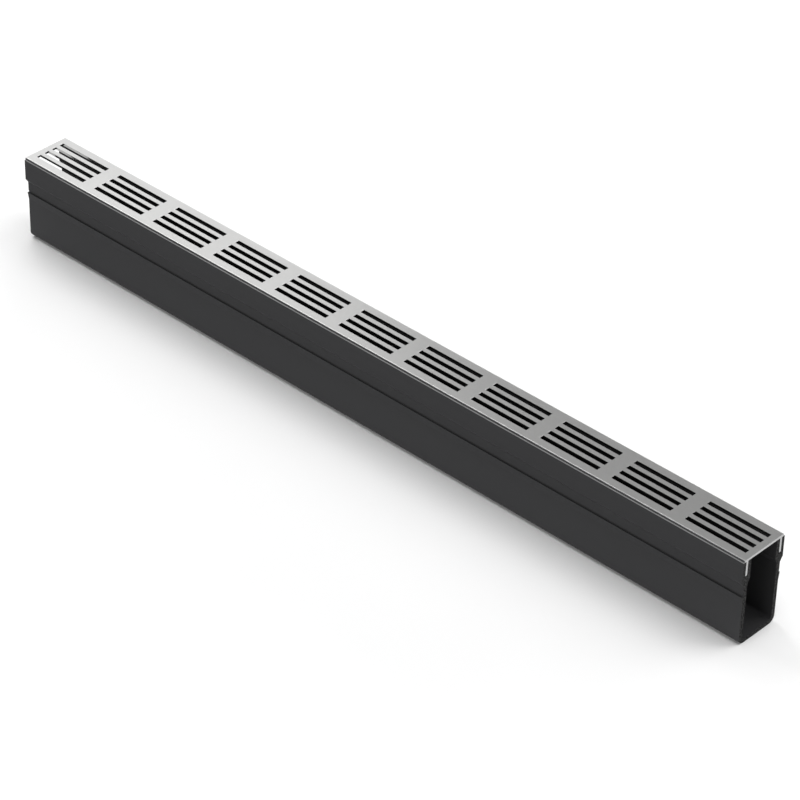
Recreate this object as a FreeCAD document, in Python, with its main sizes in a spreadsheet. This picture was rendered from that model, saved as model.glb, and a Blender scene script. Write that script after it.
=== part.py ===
"""A channel drain one metre long: an extruded plastic channel, open at both ends, and a slotted metal grate.

The frame of the model: X runs along the drain, Y across it and Z up. The origin is the middle of the
underside, so the channel stands on Z = 0. All lengths are in millimetres.
"""

import FreeCAD, Part
import math
import os

import Sketcher

# The driving dimensions, each written once. Every sketch and feature takes its size from these cells.
SIZES = {
    # The channel's section. Depths are measured down from the top of its head, where the grate rests.
    "channel_length": 1000.0,
    "channel_height": 101.0,
    "body_width": 54.0,
    "wall": 5.0,
    "floor": 5.0,
    "head_rim": 3.7,
    "head_depth": 24.4,
    "head_chamfer_height": 5.0,
    "lip_opening": 38.0,
    "lip_depth": 22.4,
    "lip_slope_height": 7.0,
    "bottom_radius": 8.0,
    "inner_radius": 3.0,
    "die_radius": 0.6,
    # The anchor barb that keys each side into the concrete, with a small groove above its ledge.
    "barb_depth": 42.2,
    "barb_projection": 1.5,
    "barb_height": 9.0,
    "barb_groove_height": 2.0,
    "barb_groove_depth": 0.5,
    # The grate: a plate with rounded long edges and two legs that stand in the head's grooves.
    "grate_end_gap": 0.1,
    "plate_overhang": 2.65,
    "plate_thickness": 2.6,
    "plate_edge_radius": 0.6,
    "leg_span": 53.1,
    "leg_thickness": 2.6,
    "leg_length": 17.15,
    "leg_foot_radius": 0.5,
    # The fit of a leg in its groove: the gap beside it on each side, and the gap under it.
    "leg_side_clearance": 0.25,
    "leg_floor_clearance": 0.55,
    # The slots: short rows of them side by side, repeated along the plate.
    "slot_length": 73.4,
    "slot_width": 5.4,
    "slot_rows": 4,
    "slot_row_pitch": 11.0,
    "slot_web": 17.76,
    "slot_end_margin": 6.0,
}

# Values that several features share, as expressions over the cells.
GROOVE_OUTSIDE = "Sizes.leg_span / 2 + Sizes.leg_side_clearance"
GROOVE_INSIDE = "Sizes.leg_span / 2 - Sizes.leg_thickness - Sizes.leg_side_clearance"
GROOVE_BOTTOM = "Sizes.channel_height - Sizes.leg_length - Sizes.leg_floor_clearance"
HEAD_SIDE = f"({GROOVE_OUTSIDE} + Sizes.head_rim)"
PLATE_SIDE = "(Sizes.leg_span / 2 + Sizes.plate_overhang)"
BARB_LEDGE = "Sizes.channel_height - Sizes.barb_depth"
GRATE_LENGTH = "Sizes.channel_length - 2 * Sizes.grate_end_gap"
GROUP_PITCH = "(Sizes.slot_length + Sizes.slot_web)"
GROUP_COUNT = f"floor(({GRATE_LENGTH} - 2 * Sizes.slot_end_margin + Sizes.slot_web) / {GROUP_PITCH})"


def make_sheet(doc):
    """Write the driving dimensions to a spreadsheet, one named cell each."""
    sheet = doc.addObject("Spreadsheet::Sheet", "Sizes")
    for row, (name, value) in enumerate(SIZES.items(), start=1):
        sheet.set(f"A{row}", name)
        sheet.set(f"B{row}", str(value))
        sheet.setAlias(f"B{row}", name)
    doc.recompute()
    return sheet


def origin_part(body, role):
    """Find one of the body's own origin planes or axes."""
    return next(item for item in body.Origin.OriginFeatures if item.Role == role)


def attach_sketch(body, name, role):
    """Start a sketch on one of the body's origin planes."""
    sketch = body.newObject("Sketcher::SketchObject", name)
    sketch.AttachmentSupport = [(origin_part(body, role), "")]
    sketch.MapMode = "FlatFace"
    return sketch


def draw_outline(sketch, corners):
    """Draw a closed outline from named corners, each dimensioned from the sketch's origin.

    The corners start out on a circle. Their two dimensions, which are bound to the sizes, then pull
    each one to its place.
    """
    count = len(corners)
    start = [
        FreeCAD.Vector(math.cos(2 * math.pi * step / count), math.sin(2 * math.pi * step / count), 0) * 50
        for step in range(count)
    ]
    for index in range(count):
        sketch.addGeometry(Part.LineSegment(start[index], start[(index + 1) % count]), False)
    for index in range(count):
        sketch.addConstraint(Sketcher.Constraint("Coincident", index, 2, (index + 1) % count, 1))
    for index, (name, across, up) in enumerate(corners):
        for axis, side, value, expression in (
            ("DistanceX", "across", start[index].x, across),
            ("DistanceY", "up", start[index].y, up),
        ):
            number = sketch.addConstraint(Sketcher.Constraint(axis, -1, 1, index, 1, value))
            sketch.renameConstraint(number, f"{name}_{side}")
            sketch.setExpression(f"Constraints.{name}_{side}", expression)


def add_feature(body, kind, name, **settings):
    """Add a feature to the body and set its properties."""
    feature = body.newObject(kind, name)
    for key, value in settings.items():
        setattr(feature, key, value)
    return feature


def long_edges(feature, sketch, corner_names, corners):
    """Name the feature's lengthwise edges that run through the given corners of its section sketch."""
    names = [corner[0] for corner in corners]
    wanted = []
    for corner in corner_names:
        point = sketch.getPoint(names.index(corner), 1)
        wanted += [(point.x, point.y), (-point.x, point.y)]
    found = []
    for number, edge in enumerate(feature.Shape.Edges, start=1):
        ends = [vertex.Point for vertex in edge.Vertexes]
        if len(ends) != 2 or abs(ends[0].x - ends[1].x) < 1:
            continue
        for across, up in wanted:
            if all(math.hypot(end.y - across, end.z - up) < 0.001 for end in ends):
                found.append(f"Edge{number}")
    return found


def extrude_half_section(body, sketch, length, name):
    """Pad half a section evenly to both sides of the middle, and mirror it across the body."""
    pad = add_feature(body, "PartDesign::Pad", f"{name}Half", Profile=sketch, SideType="Symmetric")
    pad.setExpression("Length", length)
    whole = add_feature(body, "PartDesign::Mirrored", f"{name}Whole", Originals=[pad])
    whole.MirrorPlane = (origin_part(body, "XZ_Plane"), [""])
    body.Tip = whole
    body.Document.recompute()
    return whole


def round_long_edges(body, feature, edges, size, name):
    """Round lengthwise edges with a radius that a cell of the sheet drives."""
    fillet = add_feature(body, "PartDesign::Fillet", name, Base=(feature, edges))
    fillet.setExpression("Radius", f"Sizes.{size}")
    body.Tip = fillet
    body.Document.recompute()
    return fillet


def make_channel(doc):
    """The channel: one extruded U with a wide grooved head, and an anchor barb on each side."""
    body = doc.addObject("PartDesign::Body", "channel_body")
    body.Label = "channel_body"
    corners = [
        ("bottom_middle", "0", "0"),
        ("bottom_edge", "Sizes.body_width / 2", "0"),
        ("barb_foot", "Sizes.body_width / 2", f"{BARB_LEDGE} - Sizes.barb_height"),
        ("barb_tip", "Sizes.body_width / 2 + Sizes.barb_projection", BARB_LEDGE),
        ("barb_groove_low", "Sizes.body_width / 2 - Sizes.barb_groove_depth", BARB_LEDGE),
        ("barb_groove_high", "Sizes.body_width / 2 - Sizes.barb_groove_depth",
         f"{BARB_LEDGE} + Sizes.barb_groove_height"),
        ("barb_groove_top", "Sizes.body_width / 2", f"{BARB_LEDGE} + Sizes.barb_groove_height"),
        ("neck", "Sizes.body_width / 2",
         "Sizes.channel_height - Sizes.head_depth - Sizes.head_chamfer_height"),
        ("head_low", HEAD_SIDE, "Sizes.channel_height - Sizes.head_depth"),
        ("head_top", HEAD_SIDE, "Sizes.channel_height"),
        ("groove_mouth_outside", GROOVE_OUTSIDE, "Sizes.channel_height"),
        ("groove_outside", GROOVE_OUTSIDE, GROOVE_BOTTOM),
        ("groove_inside", GROOVE_INSIDE, GROOVE_BOTTOM),
        ("groove_mouth_inside", GROOVE_INSIDE, "Sizes.channel_height"),
        ("lip_top", "Sizes.lip_opening / 2", "Sizes.channel_height"),
        ("lip_low", "Sizes.lip_opening / 2", "Sizes.channel_height - Sizes.lip_depth"),
        ("wall_top", "Sizes.body_width / 2 - Sizes.wall",
         "Sizes.channel_height - Sizes.lip_depth - Sizes.lip_slope_height"),
        ("floor_edge", "Sizes.body_width / 2 - Sizes.wall", "Sizes.floor"),
        ("floor_middle", "0", "Sizes.floor"),
    ]
    section = attach_sketch(body, "ChannelHalfSection", "YZ_Plane")
    draw_outline(section, corners)
    whole = extrude_half_section(body, section, "Sizes.channel_length", "Channel")
    outer = long_edges(whole, section, ["bottom_edge"], corners)
    rounded = round_long_edges(body, whole, outer, "bottom_radius", "BottomRounding")
    inner = long_edges(rounded, section, ["floor_edge"], corners)
    rounded = round_long_edges(body, rounded, inner, "inner_radius", "FloorRounding")
    # The die rounds the rest of the section a little, apart from the fine edges of the grooves and the barb.
    soft_corners = ["head_top", "head_low", "neck", "lip_top", "lip_low", "wall_top"]
    soft = long_edges(rounded, section, soft_corners, corners)
    round_long_edges(body, rounded, soft, "die_radius", "DieRounding")
    return body


def make_grate(doc):
    """The grate: an extruded plate with two legs, its slots punched in groups along the length."""
    body = doc.addObject("PartDesign::Body", "grate")
    body.Label = "grate"
    corners = [
        ("top_middle", "0", "Sizes.plate_thickness"),
        ("under_middle", "0", "0"),
        ("leg_root_inside", "Sizes.leg_span / 2 - Sizes.leg_thickness", "0"),
        ("leg_foot_inside", "Sizes.leg_span / 2 - Sizes.leg_thickness", "-Sizes.leg_length"),
        ("leg_foot_outside", "Sizes.leg_span / 2", "-Sizes.leg_length"),
        ("leg_root_outside", "Sizes.leg_span / 2", "0"),
        ("plate_under_edge", PLATE_SIDE, "0"),
        ("plate_top_edge", PLATE_SIDE, "Sizes.plate_thickness"),
    ]
    section = attach_sketch(body, "GrateHalfSection", "YZ_Plane")
    draw_outline(section, corners)
    whole = extrude_half_section(body, section, GRATE_LENGTH, "Grate")
    edges = long_edges(whole, section, ["plate_top_edge"], corners)
    rounded = round_long_edges(body, whole, edges, "plate_edge_radius", "PlateEdgeRounding")
    feet = long_edges(rounded, section, ["leg_foot_inside", "leg_foot_outside"], corners)
    round_long_edges(body, rounded, feet, "leg_foot_radius", "LegFootRounding")
    punch_slots(body)
    body.setExpression("Placement.Base.z", "Sizes.channel_height")
    doc.recompute()
    return body


def punch_slots(body):
    """Cut the first slot through the plate and repeat it along the plate and across it."""
    first_end = f"-({GROUP_COUNT} * {GROUP_PITCH} - Sizes.slot_web) / 2"
    first_side = "-((Sizes.slot_rows - 1) * Sizes.slot_row_pitch + Sizes.slot_width) / 2"
    sketch = attach_sketch(body, "FirstSlot", "XY_Plane")
    sketch.setExpression("AttachmentOffset.Base.z", "Sizes.plate_thickness")
    draw_outline(sketch, [
        ("near_left", first_end, first_side),
        ("near_right", f"{first_end} + Sizes.slot_length", first_side),
        ("far_right", f"{first_end} + Sizes.slot_length", f"{first_side} + Sizes.slot_width"),
        ("far_left", first_end, f"{first_side} + Sizes.slot_width"),
    ])
    body.Document.recompute()
    before = body.Shape.Volume
    slot = add_feature(body, "PartDesign::Pocket", "Slot", Profile=sketch, Type="Length")
    slot.setExpression("Length", "Sizes.plate_thickness")
    body.Document.recompute()
    one_slot = SIZES["slot_length"] * SIZES["slot_width"] * SIZES["plate_thickness"]
    if abs(before - body.Shape.Volume - one_slot) > 0.001 * one_slot:
        raise RuntimeError("the first slot doesn't go through the plate")
    slots = add_feature(body, "PartDesign::LinearPattern", "Slots", Originals=[slot],
                        Mode="Spacing", Mode2="Spacing")
    # Minus one stands for the pattern's own spacing, which the first step across doesn't start with.
    slots.Spacings2 = [-1.0]
    slots.Direction = (origin_part(body, "X_Axis"), [""])
    slots.Direction2 = (origin_part(body, "Y_Axis"), [""])
    slots.setExpression("Offset", GROUP_PITCH)
    slots.setExpression("Occurrences", GROUP_COUNT)
    slots.setExpression("Offset2", "Sizes.slot_row_pitch")
    slots.setExpression("Occurrences2", "Sizes.slot_rows")
    body.Tip = slots
    body.Document.recompute()
    count = slots.Occurrences * slots.Occurrences2
    if abs(before - body.Shape.Volume - count * one_slot) > 0.001 * one_slot:
        raise RuntimeError("the pattern doesn't cut every slot")


def check_document(doc, bodies):
    """Stop before anything is written if a feature failed or a solid isn't sound."""
    for item in doc.Objects:
        if "Invalid" in item.State or "Error" in item.State:
            raise RuntimeError(f"{item.Label} failed: {item.State}")
    for body in bodies:
        if body.Shape.isNull() or not body.Shape.isValid() or len(body.Shape.Solids) != 1:
            raise RuntimeError(f"{body.Label} isn't one sound solid")


def main():
    """Build both pieces, check them and write one file for each."""
    doc = FreeCAD.newDocument("ChannelDrain")
    make_sheet(doc)
    bodies = [make_channel(doc), make_grate(doc)]
    doc.recompute()
    check_document(doc, bodies)
    os.makedirs("parts", exist_ok=True)
    for body in bodies:
        body.Shape.exportStep(f"parts/{body.Label}.step")
        box = body.Shape.BoundBox
        print(f"{body.Label}: {box.XLength:.2f} x {box.YLength:.2f} x {box.ZLength:.2f} mm, "
              f"bottom at {box.ZMin:.2f}, {len(body.Shape.Faces)} faces, {body.Shape.Volume:.0f} mm3")


main()
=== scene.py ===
# %% [markdown]
# A channel drain one metre long, dressed for a studio photograph.
#
# The real object has two pieces. The channel is black plastic pushed through a die, so one section runs its
# whole length, and both ends are plain saw cuts. The grate that lies in its head is satin aluminium: another
# extruded section, with groups of slots punched through its plate. This lesson makes each piece the way the
# factory does: draw a section, extrude it, punch it, and then give it the finish that the process leaves.

import math

import bpy
from mathutils import Matrix, Vector


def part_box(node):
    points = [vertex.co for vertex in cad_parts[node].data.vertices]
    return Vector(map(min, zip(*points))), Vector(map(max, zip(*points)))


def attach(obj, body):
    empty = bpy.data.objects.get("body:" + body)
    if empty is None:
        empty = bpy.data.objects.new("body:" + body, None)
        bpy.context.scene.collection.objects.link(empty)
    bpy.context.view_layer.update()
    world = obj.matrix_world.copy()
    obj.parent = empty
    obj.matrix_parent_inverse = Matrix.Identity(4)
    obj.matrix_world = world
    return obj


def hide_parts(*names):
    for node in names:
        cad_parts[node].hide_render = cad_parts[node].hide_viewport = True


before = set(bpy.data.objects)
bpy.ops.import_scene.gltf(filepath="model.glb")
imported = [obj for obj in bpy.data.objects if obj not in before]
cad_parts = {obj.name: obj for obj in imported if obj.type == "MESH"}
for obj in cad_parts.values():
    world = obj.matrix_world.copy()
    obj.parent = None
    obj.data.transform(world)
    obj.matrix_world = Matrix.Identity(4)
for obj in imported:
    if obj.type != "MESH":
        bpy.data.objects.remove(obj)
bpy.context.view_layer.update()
channel_low, channel_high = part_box("channel_body")
grate_low, grate_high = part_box("grate")
print("channel from", channel_low, "to", channel_high)
print("grate from", grate_low, "to", grate_high)

# %% [markdown]
# Sizes are easiest to read in millimetres, as a drawing gives them, while Blender works in metres. So every
# size below is a plain number of millimetres times MM. The overall lengths and heights come from the frame,
# and only what the frame's boxes can't tell, such as a wall or a slot, is written here.

# %% The sizes of the channel's section
MM = 0.001

LENGTH = channel_high[0] - channel_low[0]
HEAD_TOP = channel_high[2]
HEAD_HALF = channel_high[1]
BODY_HALF = 27.0 * MM
WALL = 5.0 * MM
FLOOR = 5.0 * MM
BOTTOM_RADIUS = 8.0 * MM
FLOOR_RADIUS = 3.0 * MM
HEAD_DEPTH = 24.4 * MM
HEAD_CHAMFER = 5.0 * MM
LIP_HALF = 19.0 * MM
LIP_DEPTH = 22.4 * MM
LIP_SLOPE = 7.0 * MM
BARB_LEDGE = HEAD_TOP - 42.2 * MM
BARB_REACH = 1.5 * MM
BARB_HEIGHT = 9.0 * MM
BARB_GROOVE_HEIGHT = 2.0 * MM
BARB_GROOVE_DEPTH = 0.5 * MM
print(f"channel {LENGTH / MM:.1f} mm long, {2 * HEAD_HALF / MM:.1f} mm wide, {HEAD_TOP / MM:.1f} mm high")

# %% The sizes of the grate and its slots
GRATE_LENGTH = grate_high[0] - grate_low[0]
GRATE_TOP = grate_high[2]
PLATE_HALF = grate_high[1]
PLATE_THICK = GRATE_TOP - HEAD_TOP
PLATE_EDGE_RADIUS = 0.6 * MM
PLATE_UNDERSIDE_RADIUS = 0.2 * MM
LEG_FOOT = grate_low[2]
LEG_OUTSIDE = 26.55 * MM
LEG_THICK = 2.6 * MM
LEG_SIDE_GAP = 0.25 * MM
LEG_FOOT_GAP = 0.55 * MM
LEG_FOOT_RADIUS = 0.5 * MM

SLOT_LENGTH = 73.4 * MM
SLOT_WIDTH = 5.4 * MM
SLOT_PITCH = 91.16 * MM
SLOT_ROW_PITCH = 11.0 * MM
SLOT_GROUPS = 11
SLOT_ROWS = 4
print(f"grate {GRATE_LENGTH / MM:.1f} mm long, plate {PLATE_THICK / MM:.2f} mm thick")
print("it has", SLOT_GROUPS * SLOT_ROWS, "slots")

# %% [markdown]
# A die has no perfectly sharp corners, and the light on a piece lives in its small roundings. So a section
# is drawn as corners with a radius each. The helper below replaces every corner by an arc that is tangent
# to its two sides: it steps back from the corner along both sides, finds the arc's centre and walks round it.
# Only half of each section is listed, because both pieces are symmetric, and the helper mirrors it.


# %% A helper that draws a rounded section
def corner_arc(before, corner, after, radius, step=math.radians(12)):
    """The points of an arc that rounds one corner of an outline."""
    if radius <= 0:
        return [corner]
    back = (before - corner).normalized()
    ahead = (after - corner).normalized()
    half_angle = back.angle(ahead) / 2
    centre = corner + (back + ahead).normalized() * radius / math.sin(half_angle)
    first = corner + back * radius / math.tan(half_angle) - centre
    last = corner + ahead * radius / math.tan(half_angle) - centre
    turn = first.angle_signed(last)
    count = max(2, math.ceil(abs(turn) / step))
    return [centre + Matrix.Rotation(-turn * i / count, 2) @ first for i in range(count + 1)]


def section_outline(half):
    """Both halves of a section, as points (across, up), from a list of (across, up, radius)."""
    mirrored = [(-across, up, radius) for across, up, radius in reversed(half)]
    corners = half + mirrored
    points = []
    for index, (across, up, radius) in enumerate(corners):
        before = Vector(corners[index - 1][:2])
        after = Vector(corners[(index + 1) % len(corners)][:2])
        points += corner_arc(before, Vector((across, up)), after, radius)
    return points


def section_face(name, outline, at_x):
    """One flat face of the section, standing across X, ready to be extruded."""
    mesh = bpy.data.meshes.new(name)
    corners = [(at_x, across, up) for across, up in outline]
    mesh.from_pydata(corners, [], [list(range(len(corners)))])
    piece = bpy.data.objects.new(name, mesh)
    bpy.context.collection.objects.link(piece)
    return piece


# %% [markdown]
# The channel's section is the interesting part of this product. Its head is wider than its body, with a
# sloping shoulder under it, so the concrete around it can't squeeze it up. Each side of the head is slit by a
# groove for a leg of the grate, which leaves an inner lip, and a small hooked barb lower down keys the wall
# into the concrete. The corners are walked once round half the section, from the underside to the floor.

# %% The channel's section
GROOVE_OUTSIDE = LEG_OUTSIDE + LEG_SIDE_GAP
GROOVE_INSIDE = LEG_OUTSIDE - LEG_THICK - LEG_SIDE_GAP
GROOVE_BOTTOM = LEG_FOOT - LEG_FOOT_GAP
CRISP = 0.3 * MM
SOFT = 0.6 * MM

channel_half = [
    (BODY_HALF, 0, BOTTOM_RADIUS),
    (BODY_HALF, BARB_LEDGE - BARB_HEIGHT, SOFT),
    (BODY_HALF + BARB_REACH, BARB_LEDGE, CRISP),
    (BODY_HALF - BARB_GROOVE_DEPTH, BARB_LEDGE, CRISP / 2),
    (BODY_HALF - BARB_GROOVE_DEPTH, BARB_LEDGE + BARB_GROOVE_HEIGHT, CRISP / 2),
    (BODY_HALF, BARB_LEDGE + BARB_GROOVE_HEIGHT, CRISP),
    (BODY_HALF, HEAD_TOP - HEAD_DEPTH - HEAD_CHAMFER, SOFT),
    (HEAD_HALF, HEAD_TOP - HEAD_DEPTH, SOFT),
    (HEAD_HALF, HEAD_TOP, SOFT),
    (GROOVE_OUTSIDE, HEAD_TOP, CRISP),
    (GROOVE_OUTSIDE, GROOVE_BOTTOM, CRISP),
    (GROOVE_INSIDE, GROOVE_BOTTOM, CRISP),
    (GROOVE_INSIDE, HEAD_TOP, CRISP),
    (LIP_HALF, HEAD_TOP, SOFT),
    (LIP_HALF, HEAD_TOP - LIP_DEPTH, SOFT),
    (BODY_HALF - WALL, HEAD_TOP - LIP_DEPTH - LIP_SLOPE, SOFT),
    (BODY_HALF - WALL, FLOOR, FLOOR_RADIUS),
]
channel_outline = section_outline(channel_half)
print("the channel's section has", len(channel_outline), "points")

# %% [markdown]
# Extruding could be a loop in Python, but both pieces need it, and a designer wants to change the length
# afterwards. So it is one small Geometry Nodes tree, used twice: Extrude Mesh pushes the section's face
# along X, and the face that stays behind is turned round to close the near end. Points that meet are welded.
# Trees for geometry and for materials are wired by the same two helpers, which are made first.

# %% Helpers that build any node tree
WELD = 1e-6


def add_socket(tree, name, kind, value=None, into="INPUT"):
    """Add a named socket to a node tree's interface."""
    socket = tree.interface.new_socket(name=name, in_out=into, socket_type=kind)
    if value is not None:
        socket.default_value = value


def add_node(tree, kind, links=(), **settings):
    """Add a node with its settings and inputs: each link is (input, output socket or plain value)."""
    node = tree.nodes.new(kind)
    for key, value in settings.items():
        setattr(node, key, value)
    for name, source in links:
        if isinstance(source, bpy.types.NodeSocket):
            tree.links.new(source, node.inputs[name])
        else:
            node.inputs[name].default_value = source
    return node


# %% The extrusion die, as a node tree
def make_extrusion_tree():
    """A tree that extrudes a flat section along X and closes both ends."""
    tree = bpy.data.node_groups.new("Extrusion die", "GeometryNodeTree")
    add_socket(tree, "Section", "NodeSocketGeometry")
    add_socket(tree, "Length", "NodeSocketFloat", LENGTH)
    add_socket(tree, "Material", "NodeSocketMaterial")
    add_socket(tree, "Bar", "NodeSocketGeometry", into="OUTPUT")
    given = add_node(tree, "NodeGroupInput").outputs
    push = add_node(tree, "ShaderNodeCombineXYZ", [("X", given["Length"])])
    pushed = add_node(tree, "GeometryNodeExtrudeMesh", [
        ("Mesh", given["Section"]), ("Offset", push.outputs[0]), ("Individual", False)])
    back = add_node(tree, "GeometryNodeFlipFaces", [("Mesh", given["Section"])])
    both = add_node(tree, "GeometryNodeJoinGeometry")
    tree.links.new(back.outputs[0], both.inputs[0])
    tree.links.new(pushed.outputs["Mesh"], both.inputs[0])
    closed = add_node(tree, "GeometryNodeMergeByDistance", [
        ("Geometry", both.outputs[0]), ("Distance", WELD)])
    real = add_node(tree, "GeometryNodeRealizeInstances", [("Geometry", closed.outputs[0])])
    dressed = add_node(tree, "GeometryNodeSetMaterial", [
        ("Geometry", real.outputs[0]), ("Material", given["Material"])])
    add_node(tree, "NodeGroupOutput", [("Bar", dressed.outputs[0])])
    return tree


extrusion_die = make_extrusion_tree()
print("made the tree", extrusion_die.name, "with", len(extrusion_die.nodes), "nodes")

# %% [markdown]
# A tree works on a piece through a modifier, which is still live: the shape is worked out again whenever
# something asks for it. The piece that leaves this lesson should be a plain mesh, so the first helper takes
# the finished mesh and removes the modifier, and the second sets a tree's named inputs and uses the first.
#
# The third shades a piece smoothly over its roundings and keeps an edge crisp where two flat faces meet. A
# corner that a wide flat face shares with a narrow rounding would get the mean of their directions, and the
# flat face would look bulged as far as its next corner. So the corners' directions are weighted by area.


# %% Helpers that run a tree on a piece, and shade it
def settle(piece, modifier):
    """Replace a piece's mesh by what its modifier makes of it, and remove the modifier."""
    evaluated = piece.evaluated_get(bpy.context.evaluated_depsgraph_get())
    mesh = bpy.data.meshes.new_from_object(evaluated)
    piece.modifiers.remove(modifier)
    piece.data = mesh


def run_tree(piece, tree, **inputs):
    """Run a node tree on a piece, with its inputs given by name."""
    modifier = piece.modifiers.new(tree.name, "NODES")
    modifier.node_group = tree
    for item in tree.interface.items_tree:
        wanted = item.name.replace(" ", "_").lower()
        if item.in_out == "INPUT" and wanted in inputs:
            modifier[item.identifier] = inputs[wanted]
    settle(piece, modifier)


def shade(piece, sharp_from=25):
    """Smooth shading that stays crisp where faces meet at more than the given angle in degrees."""
    for face in piece.data.polygons:
        face.use_smooth = True
    piece.data.set_sharp_from_angle(angle=math.radians(sharp_from))
    modifier = piece.modifiers.new("weighted normals", "WEIGHTED_NORMAL")
    modifier.keep_sharp = True
    settle(piece, modifier)


# %% [markdown]
# Every finish below starts as a Principled shader. One function turns the sRGB hex value that a colour
# picker shows into the linear numbers that Cycles works with, and one makes an empty material.
#
# The next finds what a bar's finish needs: where a point lies on it, how far from the middle and how high,
# and whether it is on a saw cut at either end. Such a mask is made from places alone, so it is given by two
# depths under the face: the one where it starts and the one where it is full. The last helper lays colours
# over each other like coats of paint, each one only where its mask lets it through.

# %% Helpers for the finishes
CUT_STARTS = 0.06 * MM
CUT_IS_FULL = 0.02 * MM


def linear(hex_colour):
    """Turn an sRGB hex colour into linear red, green, blue and alpha."""
    parts = [int(hex_colour[i:i + 2], 16) / 255 for i in (1, 3, 5)]
    return [c / 12.92 if c <= 0.04045 else ((c + 0.055) / 1.055) ** 2.4 for c in parts] + [1.0]


def new_material(name):
    """An empty material: gives the material, its tree and its Principled shader."""
    material = bpy.data.materials.new(name)
    material.use_nodes = True
    return material, material.node_tree, material.node_tree.nodes["Principled BSDF"]


def find_place(tree, bar_length):
    """The point on a bar, its distance from the middle across it, its height, and a mask of its saw cuts."""
    place = add_node(tree, "ShaderNodeTexCoord").outputs["Object"]
    axes = add_node(tree, "ShaderNodeSeparateXYZ", [("Vector", place)]).outputs
    along = add_node(tree, "ShaderNodeMath", [(0, axes["X"])], operation="ABSOLUTE").outputs[0]
    across = add_node(tree, "ShaderNodeMath", [(0, axes["Y"])], operation="ABSOLUTE").outputs[0]
    sawn = add_node(tree, "ShaderNodeMapRange", [
        ("Value", along), ("From Min", bar_length / 2 - CUT_STARTS),
        ("From Max", bar_length / 2 - CUT_IS_FULL)]).outputs[0]
    return place, across, axes["Z"], sawn


def lay_coats(tree, base, *coats):
    """Lay coats of colour over a base: each coat is (mask, colour), and a colour a hex value or an output."""
    colour = linear(base)
    for mask, coat in coats:
        coat = linear(coat) if isinstance(coat, str) else coat
        mixed = add_node(tree, "ShaderNodeMix", [(0, mask), (6, colour), (7, coat)], data_type="RGBA")
        colour = mixed.outputs[2]
    return colour


# %% [markdown]
# The channel is polypropylene, coloured right through with carbon black. The hot plastic slides along the
# steel of the die, which leaves a dull, even skin with very faint lines along the bar: black that still
# shows its form softly, with hardly a highlight. The lines are noise stretched along X, a millimetre and a
# half wide and nearly half a metre long. Real ones are finer, but those would vanish at this distance.
#
# The rest of the bar differs from that skin in four places. A circular saw tears the plastic a little, so
# the two ends are speckled with dark pits of about two millimetres. The other three are painted light and
# shade: the head's top, outside the grate's edge, is painted much paler as a painted highlight; the bar is
# painted a little lighter towards its bottom, as painted light from below; and everything nearer the middle
# than the middle of the walls, the inside above all, is painted a deeper black as painted shade. All four
# are masks on the piece's own coordinates, so they stay where they belong.

# %% The plastic: extruded and sawn, with a painted highlight, painted light and painted shade
DIE_LINE_LENGTH = 450 * MM
DIE_LINE_WIDTH = 1.5 * MM
PIT_SIZE = 2.0 * MM
PAINTED_HIGHLIGHT_WIDTH = 0.3 * MM
PAINTED_HIGHLIGHT_STARTS = 0.5 * MM
PAINTED_HIGHLIGHT_IS_FULL = 0.1 * MM
PAINTED_LIGHT_HEIGHT = 60 * MM


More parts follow.
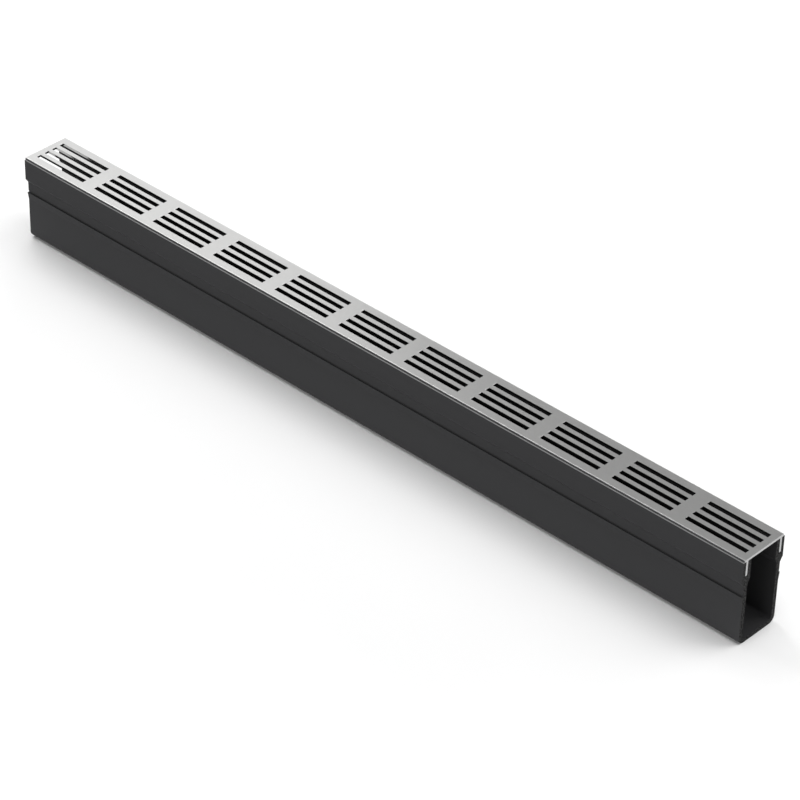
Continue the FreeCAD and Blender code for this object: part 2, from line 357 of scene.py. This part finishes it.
def make_plastic():
    """Black polypropylene with die lines and sawn ends, and a painted highlight, painted light and painted
    shade.
    """
    material, tree, shader = new_material("Extruded black polypropylene")
    place, across, height, sawn = find_place(tree, LENGTH)
    per_line = (1 / DIE_LINE_LENGTH, 1 / DIE_LINE_WIDTH, 1 / DIE_LINE_WIDTH)
    stretched = add_node(tree, "ShaderNodeVectorMath", [(0, place), (1, per_line)], operation="MULTIPLY")
    lines = add_node(tree, "ShaderNodeTexNoise", [
        ("Vector", stretched.outputs[0]), ("Scale", 1.0), ("Detail", 3.0)]).outputs["Fac"]
    pits = add_node(tree, "ShaderNodeTexNoise", [
        ("Vector", place), ("Scale", 1 / PIT_SIZE), ("Detail", 2.0)]).outputs["Fac"]
    sharp_pits = add_node(tree, "ShaderNodeMapRange", [
        ("Value", pits), ("From Min", 0.42), ("From Max", 0.58)]).outputs[0]
    # painted highlight: the head's top outside the grate's edge is painted much paler than the skin
    outermost = add_node(tree, "ShaderNodeMapRange", [
        ("Value", across), ("From Min", PLATE_HALF - PAINTED_HIGHLIGHT_WIDTH), ("From Max", PLATE_HALF)]).outputs[0]
    topmost = add_node(tree, "ShaderNodeMapRange", [
        ("Value", height), ("From Min", HEAD_TOP - PAINTED_HIGHLIGHT_STARTS),
        ("From Max", HEAD_TOP - PAINTED_HIGHLIGHT_IS_FULL)]).outputs[0]
    painted_highlight = add_node(tree, "ShaderNodeMath", [(0, outermost), (1, topmost)], operation="MULTIPLY").outputs[0]
    # painted light: the bar is painted lighter towards its bottom, over the lowest sixty millimetres
    painted_light_below = add_node(tree, "ShaderNodeMapRange", [
        ("Value", height), ("From Min", PAINTED_LIGHT_HEIGHT), ("From Max", 0.0)]).outputs[0]
    # painted shade: everything nearer the middle than the middle of the walls is painted a deeper black
    painted_shade_inside = add_node(tree, "ShaderNodeMapRange", [
        ("Value", across), ("From Min", BODY_HALF - 0.4 * WALL),
        ("From Max", BODY_HALF - 0.6 * WALL)]).outputs[0]

    torn = lay_coats(tree, "#040404", (sharp_pits, "#373737"))
    # after the die lines, the next three coats are painted light, a painted highlight and painted shade
    coloured = lay_coats(
        tree, "#363637", (lines, "#383839"), (painted_light_below, "#3f3f40"), (painted_highlight, "#8c8c8c"), (painted_shade_inside, "#303031"),
        (sawn, torn))
    tree.links.new(coloured, shader.inputs["Base Color"])
    relief = add_node(tree, "ShaderNodeMix", [(0, sawn), (2, lines), (3, pits)]).outputs[0]
    bump = add_node(tree, "ShaderNodeBump", [("Height", relief), ("Strength", 0.1), ("Distance", 0.1 * MM)])
    tree.links.new(bump.outputs[0], shader.inputs["Normal"])
    shader.inputs["Roughness"].default_value = 0.55
    shader.inputs["Specular IOR Level"].default_value = 0.05
    return material


plastic = make_plastic()
print("made", plastic.name, "with", len(plastic.node_tree.nodes), "nodes")

# %% [markdown]
# The grate is aluminium, lightly blasted with glass beads and then anodised. That turns mirror into satin:
# the plate shows whatever large light it faces as an even tone that drifts along the bar, with a fine grain
# in it. The grain is noise a millimetre across, several times the size of a real dimple, because those are
# far smaller than one pixel here.
#
# Only the top is blasted. The plate's two long edges are dull and painted dark as a painted dark reflection,
# which is the thin dark line all along the grate. Its ends are sawn, which is a rougher cut. The walls of
# the slots are darker too, yet smooth, because the punch burnishes what it shears. At the far end they
# mirror the white paper outside the channel, as far in as that can be seen by reflection.

# %% The metal: blasted, anodised, punched and sawn
GRAIN_SIZE = 1.0 * MM
PAINTED_EDGE_STARTS = 0.12 * MM
PAINTED_EDGE_IS_FULL = 0.02 * MM
PUNCH_STARTS = 0.1 * MM
PUNCH_IS_FULL = 0.25 * MM
SATIN_ROUGHNESS = (0.28, 0.31)
BURNISHED_ROUGHNESS = 0.12
DULL_ROUGHNESS = 0.45


def make_metal():
    """Satin aluminium with grain, long edges painted dark as a painted reflection, burnished slot walls, sawn
    ends.
    """
    material, tree, shader = new_material("Blasted and anodised aluminium")
    place, across, height, sawn = find_place(tree, GRATE_LENGTH)
    grain = add_node(tree, "ShaderNodeTexNoise", [
        ("Vector", place), ("Scale", 1 / GRAIN_SIZE), ("Detail", 4.0)]).outputs["Fac"]
    # painted dark reflection: the outermost eighth of a millimetre of the plate on each side is painted dark
    painted_dark_edge = add_node(tree, "ShaderNodeMapRange", [
        ("Value", across), ("From Min", PLATE_HALF - PAINTED_EDGE_STARTS),
        ("From Max", PLATE_HALF - PAINTED_EDGE_IS_FULL)]).outputs[0]
    punched = add_node(tree, "ShaderNodeMapRange", [
        ("Value", height), ("From Min", GRATE_TOP - PUNCH_STARTS),
        ("From Max", GRATE_TOP - PUNCH_IS_FULL)]).outputs[0]

    coloured = lay_coats(
        tree, "#c8c8c7", (grain, "#d0d0cf"), (punched, "#a4a4a3"), (painted_dark_edge, "#4c4c4e"), (sawn, "#bababa"))
    tree.links.new(coloured, shader.inputs["Base Color"])
    satin = add_node(tree, "ShaderNodeMapRange", [
        ("Value", grain), ("From Min", 0.3), ("From Max", 0.7),
        ("To Min", SATIN_ROUGHNESS[0]), ("To Max", SATIN_ROUGHNESS[1])]).outputs[0]
    smooth = add_node(tree, "ShaderNodeMix", [(0, punched), (2, satin), (3, BURNISHED_ROUGHNESS)]).outputs[0]
    rougher = add_node(tree, "ShaderNodeMath", [(0, painted_dark_edge), (1, sawn)], operation="MAXIMUM").outputs[0]
    roughness = add_node(tree, "ShaderNodeMix", [(0, rougher), (2, smooth), (3, DULL_ROUGHNESS)]).outputs[0]
    tree.links.new(roughness, shader.inputs["Roughness"])
    bump = add_node(tree, "ShaderNodeBump", [("Height", grain), ("Strength", 0.02), ("Distance", 0.05 * MM)])
    tree.links.new(bump.outputs[0], shader.inputs["Normal"])
    shader.inputs["Metallic"].default_value = 1.0
    return material


metal = make_metal()
print("made", metal.name, "with", len(metal.node_tree.nodes), "nodes")

# %% [markdown]
# Now the channel itself: the section stands at the left end, and the die pushes it out to the right. The
# finished bar takes the place of the CAD model's channel in every picture.

# %% Extrude the channel
channel = section_face("channel", channel_outline, channel_low[0])
run_tree(channel, extrusion_die, length=LENGTH, material=plastic)
shade(channel)
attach(channel, "root")
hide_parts("channel_body")
print("the channel has", len(channel.data.polygons), "faces")

# %% [markdown]
# The grate's section is a flat plate with two legs, like a wide staple. The legs stand in the grooves of the
# channel's head and keep the plate from sliding off. The plate's upper edges are rounded, so they don't cut
# a bare foot, and the feet of the legs are rounded so they find their grooves.

# %% The grate's section
grate_half = [
    (PLATE_HALF, GRATE_TOP, PLATE_EDGE_RADIUS),
    (PLATE_HALF, HEAD_TOP, PLATE_UNDERSIDE_RADIUS),
    (LEG_OUTSIDE, HEAD_TOP, 0),
    (LEG_OUTSIDE, LEG_FOOT, LEG_FOOT_RADIUS),
    (LEG_OUTSIDE - LEG_THICK, LEG_FOOT, LEG_FOOT_RADIUS),
    (LEG_OUTSIDE - LEG_THICK, HEAD_TOP, CRISP),
]
grate_outline = section_outline(grate_half)
print("the grate's section has", len(grate_outline), "points")

# %% [markdown]
# A press punches the slots, one group of four with each stroke. Where a punch enters, it drags the metal's
# surface down with it and leaves a slightly rolled edge. So the punch here has a shoulder that spreads by a
# fifth of a millimetre at the plate's top. It is a grid with one face, extruded three times: up through the
# plate, out into the shoulder, and on past the top so that no two faces lie in one plane.

# %% The punch with its shoulder, as nodes
ROLLED_EDGE = 0.2 * MM


def add_punch(tree, length, width, depth, shoulder):
    """Nodes that make one punch, centred on its slot, with its shoulder's foot at a height of zero."""
    def climb(part, height, chosen=True):
        """Extrude the chosen faces straight up."""
        up = add_node(tree, "ShaderNodeCombineXYZ", [("Z", height)]).outputs[0]
        return add_node(tree, "GeometryNodeExtrudeMesh", [
            ("Mesh", part), ("Selection", chosen), ("Offset", up), ("Individual", False)]).outputs

    face = add_node(tree, "GeometryNodeMeshGrid", [
        ("Vertices X", 2), ("Vertices Y", 2), ("Size X", length), ("Size Y", width)]).outputs["Mesh"]
    down = add_node(tree, "ShaderNodeMath", [(0, depth), (1, -1.0)], operation="MULTIPLY").outputs[0]
    sink = add_node(tree, "ShaderNodeCombineXYZ", [("Z", down)]).outputs[0]
    low = add_node(tree, "GeometryNodeTransform", [("Geometry", face), ("Translation", sink)]).outputs[0]
    shaft = climb(low, depth)
    flare = climb(shaft["Mesh"], shoulder, shaft["Top"])
    corner = add_node(tree, "GeometryNodeInputPosition").outputs[0]
    outwards = add_node(tree, "ShaderNodeVectorMath", [(0, corner)], operation="SIGN").outputs[0]
    reach = add_node(tree, "ShaderNodeCombineXYZ", [("X", shoulder), ("Y", shoulder)]).outputs[0]
    spread = add_node(tree, "ShaderNodeVectorMath", [
        (0, outwards), (1, reach)], operation="MULTIPLY").outputs[0]
    wide = add_node(tree, "GeometryNodeSetPosition", [
        ("Geometry", flare["Mesh"]), ("Selection", flare["Top"]), ("Offset", spread)]).outputs[0]
    head = climb(wide, shoulder, flare["Top"])
    back = add_node(tree, "GeometryNodeFlipFaces", [("Mesh", low)])
    both = add_node(tree, "GeometryNodeJoinGeometry")
    tree.links.new(back.outputs[0], both.inputs[0])
    tree.links.new(head["Mesh"], both.inputs[0])
    return add_node(tree, "GeometryNodeMergeByDistance", [
        ("Geometry", both.outputs[0]), ("Distance", WELD)]).outputs[0]


# %% [markdown]
# The places to punch are the points of another grid, with a column for each group and a row for each slot.
# One exact boolean takes all the punches away from the bar at once, and the tree's inputs are the numbers
# that a designer would ask for: how many groups, how far apart, how long and how wide.


# %% The press that punches every slot, as a node tree
def make_press_tree():
    """A tree that cuts groups of slots through a bar's plate."""
    tree = bpy.data.node_groups.new("Slot press", "GeometryNodeTree")
    add_socket(tree, "Bar", "NodeSocketGeometry")
    add_socket(tree, "Slot length", "NodeSocketFloat", SLOT_LENGTH)
    add_socket(tree, "Slot width", "NodeSocketFloat", SLOT_WIDTH)
    add_socket(tree, "Slot depth", "NodeSocketFloat", 2 * PLATE_THICK)
    add_socket(tree, "Shoulder", "NodeSocketFloat", ROLLED_EDGE)
    add_socket(tree, "Groups", "NodeSocketInt", SLOT_GROUPS)
    add_socket(tree, "Rows", "NodeSocketInt", SLOT_ROWS)
    add_socket(tree, "Pitch", "NodeSocketFloat", SLOT_PITCH)
    add_socket(tree, "Row pitch", "NodeSocketFloat", SLOT_ROW_PITCH)
    add_socket(tree, "Height", "NodeSocketFloat", GRATE_TOP - ROLLED_EDGE)
    add_socket(tree, "Material", "NodeSocketMaterial")
    add_socket(tree, "Grate", "NodeSocketGeometry", into="OUTPUT")
    given = add_node(tree, "NodeGroupInput").outputs

    def span(count, pitch):
        """How far the outer two of a row of places lie apart."""
        gaps = add_node(tree, "ShaderNodeMath", [(0, given[count]), (1, 1.0)], operation="SUBTRACT")
        return add_node(tree, "ShaderNodeMath", [
            (0, gaps.outputs[0]), (1, given[pitch])], operation="MULTIPLY").outputs[0]

    places = add_node(tree, "GeometryNodeMeshGrid", [
        ("Vertices X", given["Groups"]), ("Vertices Y", given["Rows"]),
        ("Size X", span("Groups", "Pitch")), ("Size Y", span("Rows", "Row pitch"))])
    punch = add_punch(
        tree, given["Slot length"], given["Slot width"], given["Slot depth"], given["Shoulder"])
    punches = add_node(tree, "GeometryNodeInstanceOnPoints", [
        ("Points", places.outputs["Mesh"]), ("Instance", punch)])
    lift = add_node(tree, "ShaderNodeCombineXYZ", [("Z", given["Height"])])
    lifted = add_node(tree, "GeometryNodeTransform", [
        ("Geometry", punches.outputs[0]), ("Translation", lift.outputs[0])])
    solid_punches = add_node(tree, "GeometryNodeRealizeInstances", [("Geometry", lifted.outputs[0])])
    cut = add_node(tree, "GeometryNodeMeshBoolean", [
        ("Mesh 1", given["Bar"]), ("Mesh 2", solid_punches.outputs[0])],
        operation="DIFFERENCE", solver="EXACT")
    real = add_node(tree, "GeometryNodeRealizeInstances", [("Geometry", cut.outputs["Mesh"])])
    dressed = add_node(tree, "GeometryNodeSetMaterial", [
        ("Geometry", real.outputs[0]), ("Material", given["Material"])])
    add_node(tree, "NodeGroupOutput", [("Grate", dressed.outputs[0])])
    return tree


slot_press = make_press_tree()
print("made the tree", slot_press.name, "with", len(slot_press.nodes), "nodes")

# %% [markdown]
# The grate runs through both trees: the die makes the bar, then the press cuts it. Punching after extruding
# is how the real one is made, and it is also what keeps every slot's wall straight through the plate.

# %% Extrude and punch the grate
grate = section_face("slotted_grate", grate_outline, grate_low[0])
run_tree(grate, extrusion_die, length=GRATE_LENGTH, material=metal)
run_tree(grate, slot_press, slot_length=SLOT_LENGTH, slot_width=SLOT_WIDTH, slot_depth=2 * PLATE_THICK,
         shoulder=ROLLED_EDGE, groups=SLOT_GROUPS, rows=SLOT_ROWS, pitch=SLOT_PITCH, row_pitch=SLOT_ROW_PITCH,
         height=GRATE_TOP - ROLLED_EDGE, material=metal)
shade(grate)
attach(grate, "root")
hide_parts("grate")
print("the grate has", len(grate.data.polygons), "faces")

# %% [markdown]
# The drain stands on a wide sheet of white paper, as a product does in a studio. Paper is matte and a little
# uneven, so its white drifts by a hair over the size of a hand. It ends far outside the picture, and no
# edge or corner of it shows in any view.

# %% The paper on the floor
PAPER_HALF = 12.0
PAPER_DRIFT = 150 * MM


def make_paper():
    """Matte white paper whose tone drifts slightly."""
    material, tree, shader = new_material("White studio paper")
    place = add_node(tree, "ShaderNodeTexCoord").outputs["Object"]
    drift = add_node(tree, "ShaderNodeTexNoise", [
        ("Vector", place), ("Scale", 1 / PAPER_DRIFT)]).outputs["Fac"]
    tree.links.new(lay_coats(tree, "#f1f1f1", (drift, "#f3f3f3")), shader.inputs["Base Color"])
    shader.inputs["Roughness"].default_value = 0.9
    shader.inputs["Specular IOR Level"].default_value = 0.0
    return material


paper_mesh = bpy.data.meshes.new("paper")
paper_corners = [(x * PAPER_HALF, y * PAPER_HALF, 0) for x, y in ((-1, -1), (1, -1), (1, 1), (-1, 1))]
paper_mesh.from_pydata(paper_corners, [], [(0, 1, 2, 3)])
paper_mesh.materials.append(make_paper())
paper = bpy.data.objects.new("paper", paper_mesh)
bpy.context.collection.objects.link(paper)
print("laid a sheet of paper", 2 * PAPER_HALF, "m wide")

# %% [markdown]
# The picture has one clear story to tell: the metal is bright at its far end and falls to a mid grey halfway
# along. That is one tall softbox on the left, seen in the plate like in a blurred mirror, and its edge is
# where the tone falls. The one above it catches the plate's rounded front edge, which stays bright a little
# longer than the plate. The long low one behind is a lit backdrop, which the rounded rear edge mirrors all
# the way. The other three keep everything even, so the black plastic has no hot spot and the paper only
# darkens close to the drain.


# %% The softboxes
def softbox(name, at, aim, size, brightness):
    """A rectangular light whose brightness is that of its face: at one, the face is as bright as white."""
    lamp = bpy.data.lights.new(name, "AREA")
    lamp.shape = "RECTANGLE"
    lamp.size, lamp.size_y = size
    lamp.energy = math.pi * size[0] * size[1] * brightness
    holder = bpy.data.objects.new(name, lamp)
    holder.location = at
    holder.rotation_euler = (Vector(aim) - Vector(at)).to_track_quat("-Z", "Y").to_euler()
    bpy.context.collection.objects.link(holder)


MIDDLE = (0, 0, 0)
softbox("left_softbox", (-1.2, 0.53, 1.425), (0, 0.53, 1.425), (1.56, 2.15), 0.68)
softbox("left_overhead_softbox", (-1.8, 0.2, 2.4), MIDDLE, (2.0, 2.0), 2.91)
softbox("right_overhead_softbox", (1.2, 0.2, 2.8), MIDDLE, (2.2, 2.2), 2.57)
softbox("front_softbox", (0, -3.0, 1.0), MIDDLE, (3.0, 1.2), 3.24)
softbox("right_rear_softbox", (1.5, 1.5, 2.2), MIDDLE, (1.5, 1.5), 2.4)
softbox("backdrop_softbox", (0, 3.2, 0.7), (0, 0, 0.7), (7.0, 1.4), 3.51)

world = bpy.data.worlds.new("studio")
bpy.context.scene.world = world
world.use_nodes = True
world.node_tree.nodes["Background"].inputs["Color"].default_value = linear("#ffffff")
world.node_tree.nodes["Background"].inputs["Strength"].default_value = 0.24

# %% [markdown]
# The camera looks down on the drain from the front right with a long lens, so the far end shrinks only a
# little. Its direction is built from three angles, and its roll turns it by the degree or so that the
# photographer was off the level.

# %% The camera
CAMERA_AT = Vector((1982.26, -2118.37, 2101.73)) * MM
AZIMUTH = math.radians(42.6086)
ELEVATION = math.radians(35.6705)
ROLL = math.radians(1.3766)
forward = Vector((
    -math.sin(AZIMUTH) * math.cos(ELEVATION),
    math.cos(AZIMUTH) * math.cos(ELEVATION),
    -math.sin(ELEVATION)))
level_right = forward.cross(Vector((0, 0, 1))).normalized()
level_up = level_right.cross(forward)
right = level_right * math.cos(ROLL) + level_up * math.sin(ROLL)
up = right.cross(forward)

lens = bpy.data.cameras.new("camera")
lens.lens = 156.8
lens.sensor_width = 36
lens.clip_end = 50
camera = bpy.data.objects.new("camera", lens)
turn = Matrix((right, up, -forward)).transposed()
camera.matrix_world = Matrix.Translation(CAMERA_AT) @ turn.to_4x4()
bpy.context.collection.objects.link(camera)
bpy.context.scene.camera = camera
bpy.context.scene.view_settings.view_transform = "Standard"
print("camera at", tuple(round(c, 3) for c in CAMERA_AT))
